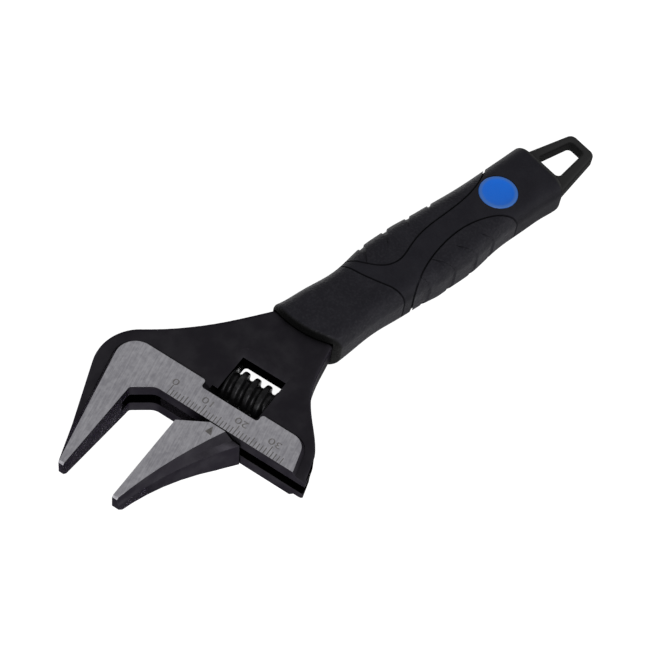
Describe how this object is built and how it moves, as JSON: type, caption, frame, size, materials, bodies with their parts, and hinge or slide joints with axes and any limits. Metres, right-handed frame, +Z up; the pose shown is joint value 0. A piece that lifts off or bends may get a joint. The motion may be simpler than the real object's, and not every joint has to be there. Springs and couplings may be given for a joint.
{
  "type": "adjustable wrench",
  "caption": "Adjustable wrench with long slim jaws, a worm-driven sliding jaw in a forged head, a soft ribbed handle and a hanging loop.",
  "frame": {"origin": "bottom centre of the wrench's overall box as it lies with the scale side up", "axes": "+X along the handle towards the jaws, +Y across the handle towards the sliding jaw's side, +Z up out of the scale side"},
  "size_m": [0.177, 0.063, 0.0146],
  "materials": {
    "black_steel": "black oxide, satin, with the raised flats polished bright",
    "polished_steel": "ground and polished",
    "worm_steel": "black oxide",
    "spring_steel": "drawn wire",
    "hard_plastic": "moulded, fine satin",
    "soft_rubber": "moulded, stippled",
    "blue_plastic": "smooth"
  },
  "bodies": {
    "wrench": {"wrench_body": "black_steel", "axle_screw": "worm_steel", "worm_spring": "spring_steel", "handle_core": "hard_plastic", "front_collar": "soft_rubber", "far_side_pad": "soft_rubber", "near_side_pad": "soft_rubber", "tail_disc": "blue_plastic"},
    "jaw": {"sliding_jaw": "polished_steel"},
    "worm": {"adjusting_worm": "worm_steel"}
  },
  "joints": [
    {"name": "jaw_slide", "type": "slide", "parent": "wrench", "child": "jaw", "axis": [-0.2756, 0.9613, 0], "range_m": [-0.01469, 0.01926]},
    {"name": "worm_spin", "type": "hinge", "parent": "wrench", "child": "worm", "pos_m": [0.03784, 0.00241, 0.00732], "axis": [-0.2756, 0.9613, 0], "range_deg": [-2040, 1560]}
  ],
  "couplings": [
    {"joint": "worm_spin", "follows": "jaw_slide", "rad_per_m": -1848}
  ]
}
